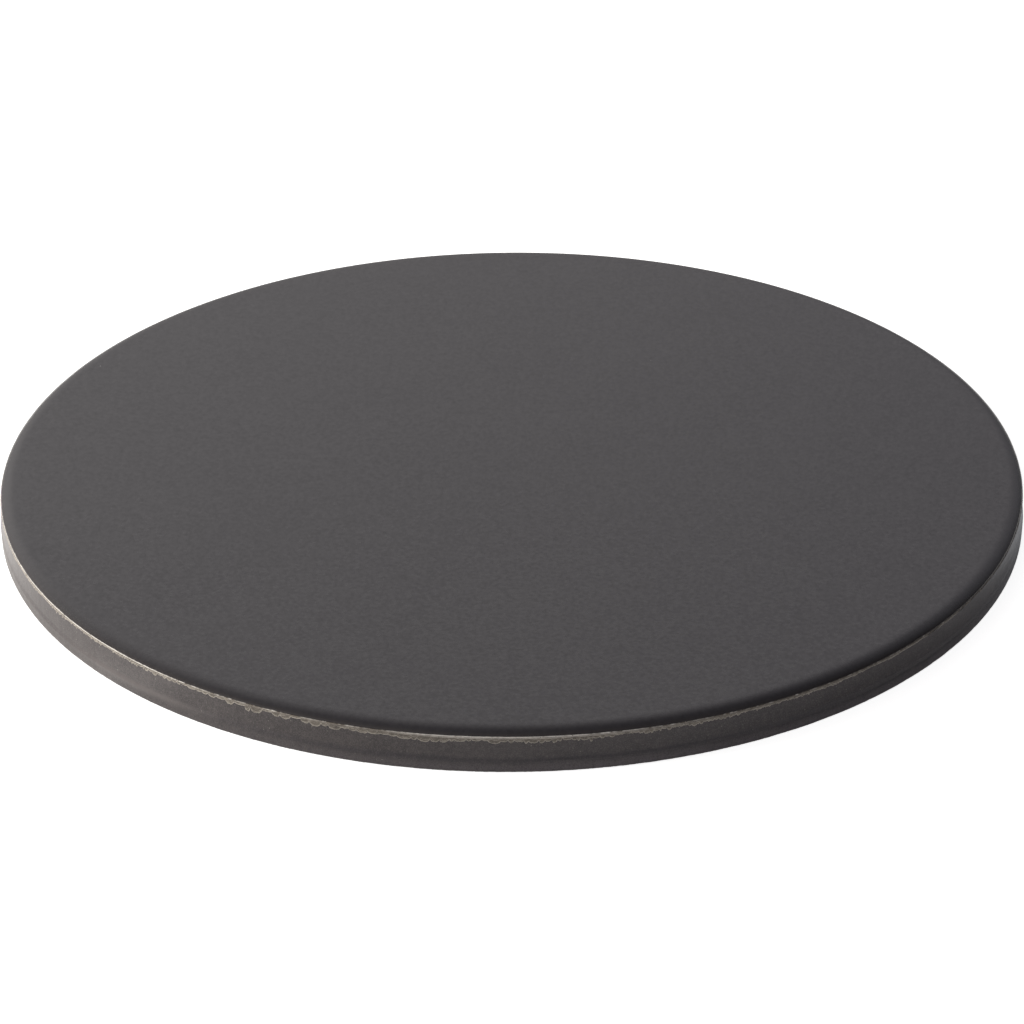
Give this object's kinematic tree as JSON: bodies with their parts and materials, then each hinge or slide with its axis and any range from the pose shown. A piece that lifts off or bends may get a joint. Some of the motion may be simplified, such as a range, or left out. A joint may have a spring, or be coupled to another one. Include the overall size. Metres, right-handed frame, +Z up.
{
  "type": "pizza stone",
  "caption": "Round flat slab of pressed ceramic with a satin charcoal glazed top, a soft roll-off at the rim and a thinly coated side wall, for baking pizza and flatbread.",
  "frame": {"origin": "centre of the flat base that the stone rests on", "axes": "+Z up through the centre of the disc, from the base to the glazed top; the disc is round, so +X and +Y are any two directions across it"},
  "size_m": [0.3616, 0.3616, 0.0145],
  "materials": {
    "fired_body": "matte",
    "charcoal_glaze": "satin",
    "thin_run_glaze": "satin",
    "dark_wash": "matte"
  },
  "bodies": {
    "root": {"stone_body": "fired_body", "top_glaze": "charcoal_glaze", "rim_runs": "thin_run_glaze", "wall_wash": "dark_wash"}
  },
  "joints": []
}
